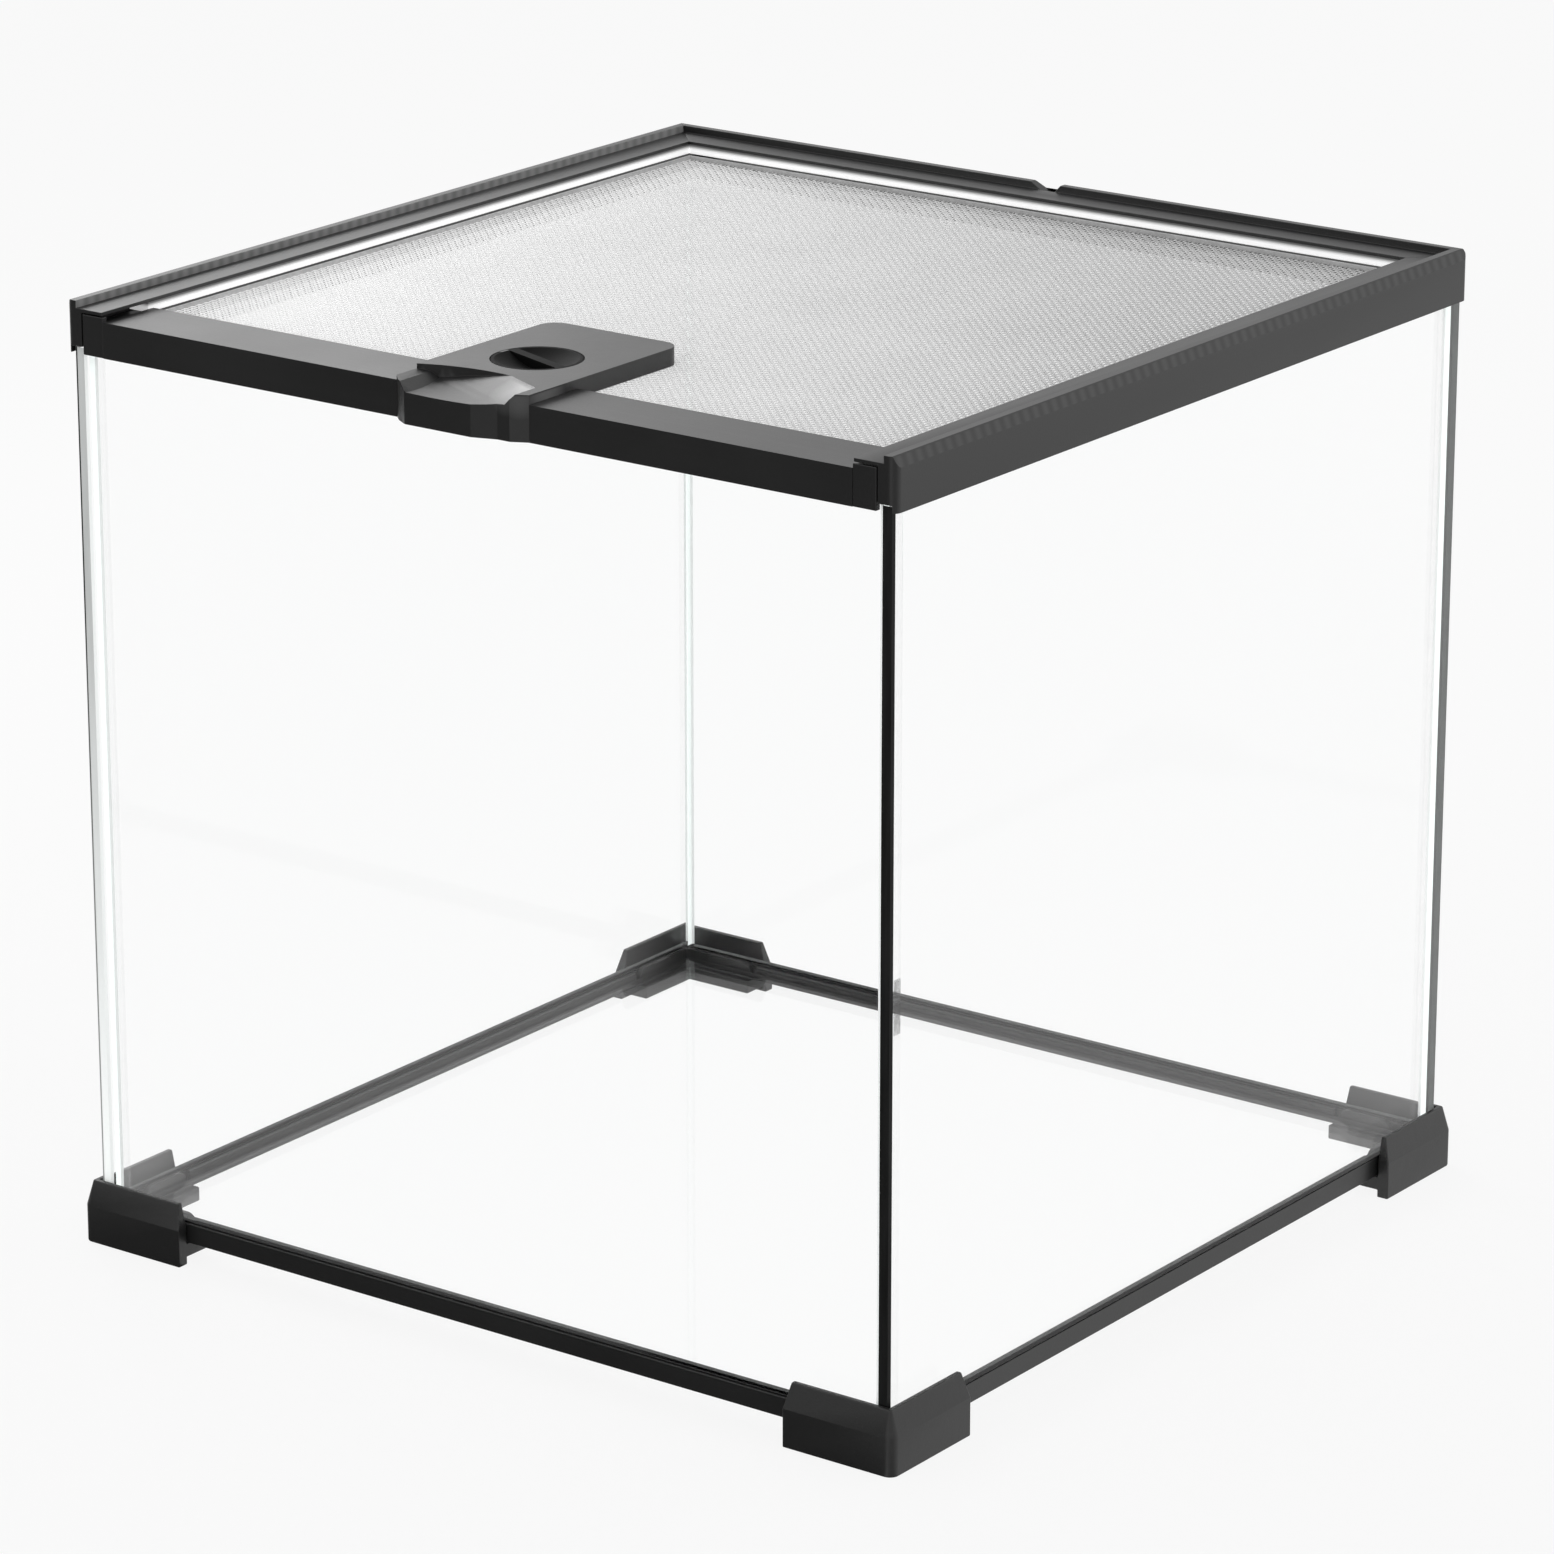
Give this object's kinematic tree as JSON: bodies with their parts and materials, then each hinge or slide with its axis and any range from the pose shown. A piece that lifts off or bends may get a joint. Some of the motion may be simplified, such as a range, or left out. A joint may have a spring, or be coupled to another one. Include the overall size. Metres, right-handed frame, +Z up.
{
  "type": "reptile terrarium",
  "caption": "Small cube glass terrarium with black plastic top rails, base strips and corner feet, a sliding mesh lid and a turning lock.",
  "frame": {"origin": "centre of the tank's footprint, on the plane that the feet stand on", "axes": "+Z up, -Y to the front where the lid slides out and the lock sits, +X to the right seen from the front"},
  "size_m": [0.2036, 0.2052, 0.1985],
  "materials": {
    "black_plastic": "fine satin, moulded",
    "clear_glass": "clear float glass with ground edges",
    "silicone": "clear silicone, smooth",
    "pale_plastic": "pale extruded strip",
    "steel_mesh": "fine woven mesh",
    "bright_steel": "plated, satin"
  },
  "bodies": {
    "tank": {"front_pane": "clear_glass", "back_pane": "clear_glass", "left_pane": "clear_glass", "right_pane": "clear_glass", "base_pane": "clear_glass", "seal_front_left": "silicone", "seal_front_right": "silicone", "seal_back_left": "silicone", "seal_back_right": "silicone", "base_seal": "silicone", "left_rail": "black_plastic", "right_rail": "black_plastic", "back_rail": "black_plastic", "front_sill": "black_plastic", "lock_keeper": "black_plastic", "left_slide_strip": "pale_plastic", "right_slide_strip": "pale_plastic", "back_slide_strip": "pale_plastic", "front_base_strip": "black_plastic", "back_base_strip": "black_plastic", "left_base_strip": "black_plastic", "right_base_strip": "black_plastic", "foot_front_left": "black_plastic", "foot_front_right": "black_plastic", "foot_back_left": "black_plastic", "foot_back_right": "black_plastic"},
    "lid": {"lid_front_bar": "black_plastic", "lid_end_caps": "black_plastic", "lid_back_bar": "black_plastic", "lid_left_bar": "black_plastic", "lid_right_bar": "black_plastic", "lid_mesh": "steel_mesh", "mesh_strip_front": "black_plastic", "lock_plate": "black_plastic", "lock_screws": "bright_steel", "backing_washer": "black_plastic"},
    "knob": {"lock_knob": "black_plastic", "lock_cam": "bright_steel", "cam_washer": "bright_steel", "cam_screw": "bright_steel"}
  },
  "joints": [
    {"name": "lid_slide", "type": "slide", "parent": "tank", "child": "lid", "axis": [0, -1, 0], "range_m": [0, 0.17]},
    {"name": "knob_turn", "type": "hinge", "parent": "lid", "child": "knob", "pos_m": [0, -0.0773, 0.1914], "axis": [0, 0, 1], "range_deg": [-90, 0]}
  ]
}
